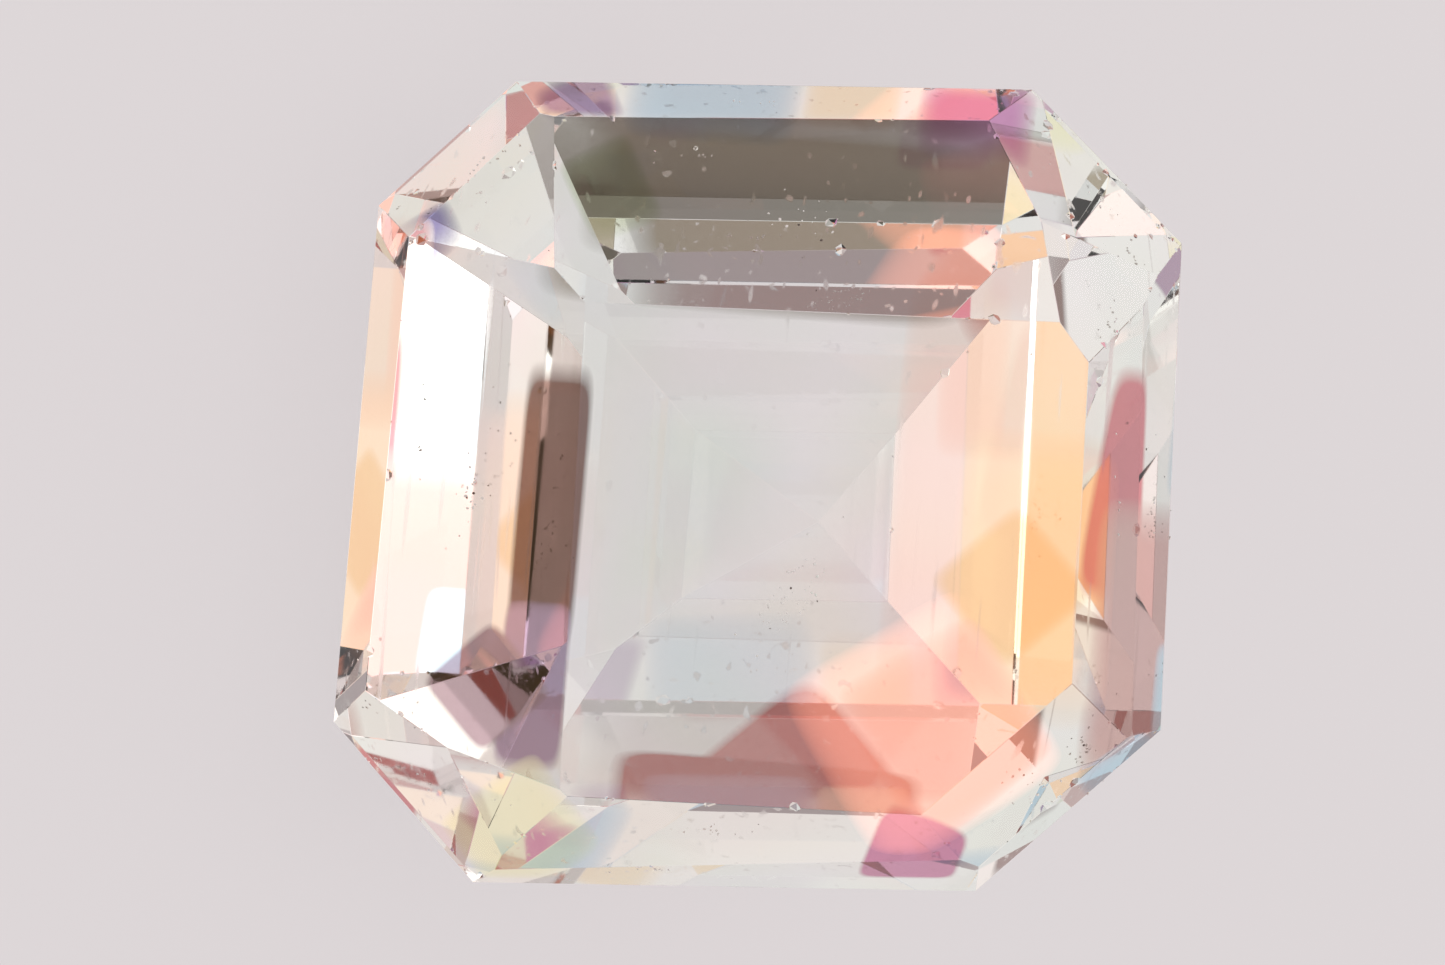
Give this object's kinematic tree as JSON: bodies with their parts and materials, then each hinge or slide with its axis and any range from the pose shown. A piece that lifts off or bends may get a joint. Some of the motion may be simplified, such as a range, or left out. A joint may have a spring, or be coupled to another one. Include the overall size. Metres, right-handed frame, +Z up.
{
  "type": "faceted rainbow moonstone",
  "caption": "Square step-cut gemstone with clipped corners, clear with an iridescent sheen, lying loose on a pavilion facet.",
  "frame": {"origin": "middle of the stone's footprint box, on the surface that it lies on", "axes": "+Z up; the table, the large flat facet, faces up and to the front (-Y)"},
  "size_m": [0.0084, 0.007, 0.006],
  "materials": {
    "moonstone": "polished facets, transparent, with pastel rainbow colours"
  },
  "bodies": {
    "root": {"moonstone": "moonstone"}
  },
  "joints": []
}
